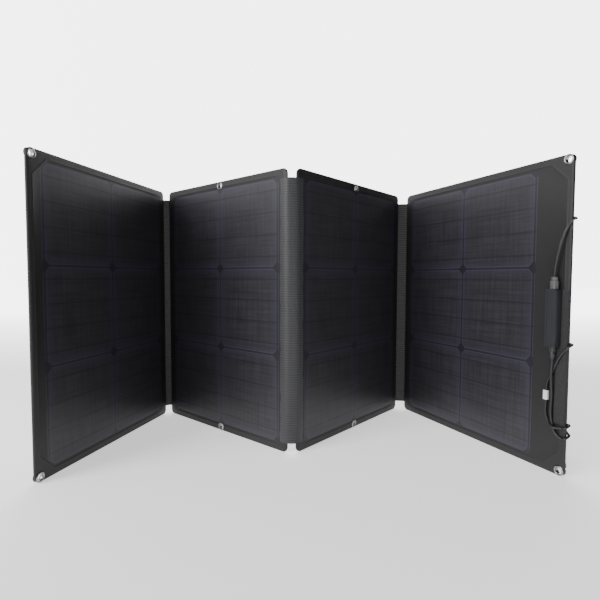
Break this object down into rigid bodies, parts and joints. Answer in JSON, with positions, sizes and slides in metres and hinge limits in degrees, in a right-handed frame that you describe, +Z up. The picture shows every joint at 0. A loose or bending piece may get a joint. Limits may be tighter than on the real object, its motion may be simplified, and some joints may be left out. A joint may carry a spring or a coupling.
{
  "type": "folding solar blanket",
  "caption": "Folding solar blanket: stiff cell panels in dark fabric covers joined by soft fold strips, with corner eyelets and an inline controller on its lead, standing zig-zag on its edges.",
  "frame": {"origin": "On the ground, under the middle of the standing blanket's outline without its leads.", "axes": "+X along the row of panels to the viewer's right, +Y away from the viewer, +Z up. The panels' front faces look towards -Y."},
  "size_m": [0.9312, 0.4062, 0.51],
  "materials": {
    "cover_fabric": "charcoal coated woven polyester",
    "back_fabric": "charcoal coated woven polyester",
    "strip_fabric": "charcoal ribbed woven polyester",
    "film": "semi-gloss embossed polymer film",
    "cell": "dark blue-black silicon",
    "board": "thin stiff laminate board",
    "eyelet": "bright nickel plate",
    "casing": "fine satin black moulding",
    "circuit": "green solder mask",
    "hook_loop": "dark grey hook-and-loop tape",
    "lead": "smooth black jacket",
    "tag": "plain white film"
  },
  "bodies": {
    "panel_1": {"back_cover_1": "back_fabric", "board_1": "board", "cell_row_1_1": "cell", "cell_row_1_2": "cell", "cell_row_1_3": "cell", "laminate_1": "film", "front_cover_1": "cover_fabric", "eyelet_1_bottom": "eyelet", "eyelet_1_top": "eyelet"},
    "strip_1": {"hinge_strip_1": "strip_fabric", "link_lead_1": "lead"},
    "panel_2": {"back_cover_2": "back_fabric", "board_2": "board", "cell_row_2_1": "cell", "cell_row_2_2": "cell", "cell_row_2_3": "cell", "laminate_2": "film", "front_cover_2": "cover_fabric", "eyelet_2_bottom": "eyelet", "eyelet_2_top": "eyelet"},
    "strip_2": {"hinge_strip_2": "strip_fabric", "link_lead_2": "lead"},
    "panel_3": {"back_cover_3": "back_fabric", "board_3": "board", "cell_row_3_1": "cell", "cell_row_3_2": "cell", "cell_row_3_3": "cell", "laminate_3": "film", "front_cover_3": "cover_fabric", "eyelet_3_bottom": "eyelet", "eyelet_3_top": "eyelet"},
    "strip_3": {"hinge_strip_3": "strip_fabric", "link_lead_3": "lead"},
    "panel_4": {"back_cover_4": "back_fabric", "board_4": "board", "cell_row_4_1": "cell", "cell_row_4_2": "cell", "cell_row_4_3": "cell", "laminate_4": "film", "front_cover_4": "cover_fabric", "eyelet_4_bottom": "eyelet", "eyelet_4_top": "eyelet", "controller_base": "casing", "controller_lid": "casing", "circuit_board": "circuit", "gland_top": "casing", "gland_bottom": "casing", "hook_loop_tape": "hook_loop", "junction_box": "casing", "junction_box_lid": "casing", "lead_keeper": "hook_loop", "input_lead": "lead", "output_lead": "lead", "lead_tag": "tag", "lead_coil": "lead", "coil_tie": "hook_loop", "lead_tail": "lead", "plug_body": "casing", "plug_barrel": "eyelet"}
  },
  "joints": [
    {"name": "fold_3_right", "type": "hinge", "parent": "panel_4", "child": "strip_3", "pos_m": [0.24607, 0.19711, 0], "axis": [0, 0, 1], "range_deg": [-57.4, 31.2]},
    {"name": "fold_3_left", "type": "hinge", "parent": "strip_3", "child": "panel_3", "pos_m": [0.22232, 0.20055, 0], "axis": [0, 0, 1], "range_deg": [-57.4, 31.2]},
    {"name": "fold_2_right", "type": "hinge", "parent": "panel_3", "child": "strip_2", "pos_m": [-0.01558, -0.07628, 0], "axis": [0, 0, -1], "range_deg": [-44.9, 45]},
    {"name": "fold_2_left", "type": "hinge", "parent": "strip_2", "child": "panel_2", "pos_m": [-0.03153, -0.07748, 0], "axis": [0, 0, -1], "range_deg": [-44.9, 45]},
    {"name": "fold_1_right", "type": "hinge", "parent": "panel_2", "child": "strip_1", "pos_m": [-0.30815, 0.16066, 0], "axis": [0, 0, 1], "range_deg": [-58.1, 31.8]},
    {"name": "fold_1_left", "type": "hinge", "parent": "strip_1", "child": "panel_1", "pos_m": [-0.3234, 0.15584, 0], "axis": [0, 0, 1], "range_deg": [-58.1, 31.8]}
  ],
  "couplings": [
    {"joint": "fold_3_left", "follows": "fold_3_right", "ratio": 1},
    {"joint": "fold_2_left", "follows": "fold_2_right", "ratio": 1},
    {"joint": "fold_1_left", "follows": "fold_1_right", "ratio": 1}
  ]
}
